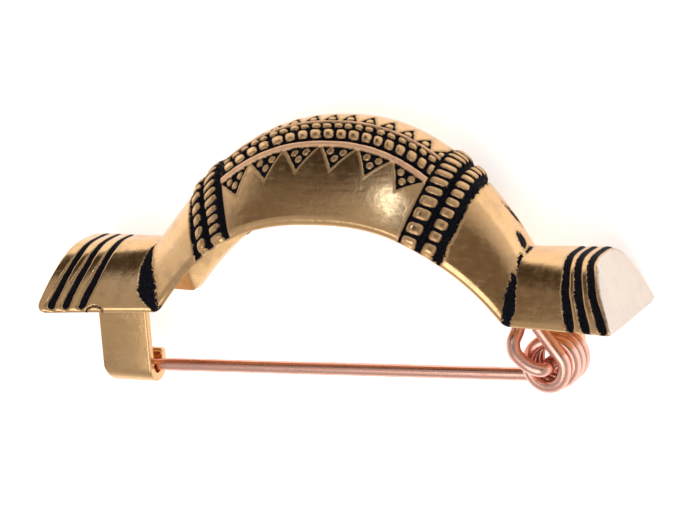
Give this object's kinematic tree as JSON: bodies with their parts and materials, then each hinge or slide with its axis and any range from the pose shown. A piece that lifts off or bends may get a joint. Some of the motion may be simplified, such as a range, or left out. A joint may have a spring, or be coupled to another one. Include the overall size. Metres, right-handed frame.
{
  "type": "bow fibula",
  "caption": "Equal-armed bow fibula of cast bronze with a beaded, ribbed hollow-backed bow, hooked catch and a sprung copper pin that pins cloth.",
  "frame": {"origin": "centre of the bounding box's underside, on the ground the fibula lies on", "axes": "+X along the fibula from the catch towards the coil, +Y from the pin towards the bow's top, +Z from the plain side, on the ground, up to the beaded side"},
  "size_m": [0.065, 0.0298, 0.0149],
  "materials": {
    "cast_bronze": "polished high points with black patina in the grooves",
    "copper_wire": "bright drawn copper"
  },
  "bodies": {
    "fibula": {"fibula_body": "cast_bronze", "axle_wire": "copper_wire"},
    "pin": {"pin_spring": "copper_wire"}
  },
  "joints": [
    {"name": "pin_hinge", "type": "hinge", "parent": "fibula", "child": "pin", "pos_m": [0.0243, -0.00964, 0.00769], "axis": [0, -0.0678, -0.9977], "range_deg": [0, 4], "stiffness_Nm_per_rad": 0.05, "springref_deg": -1.72}
  ]
}
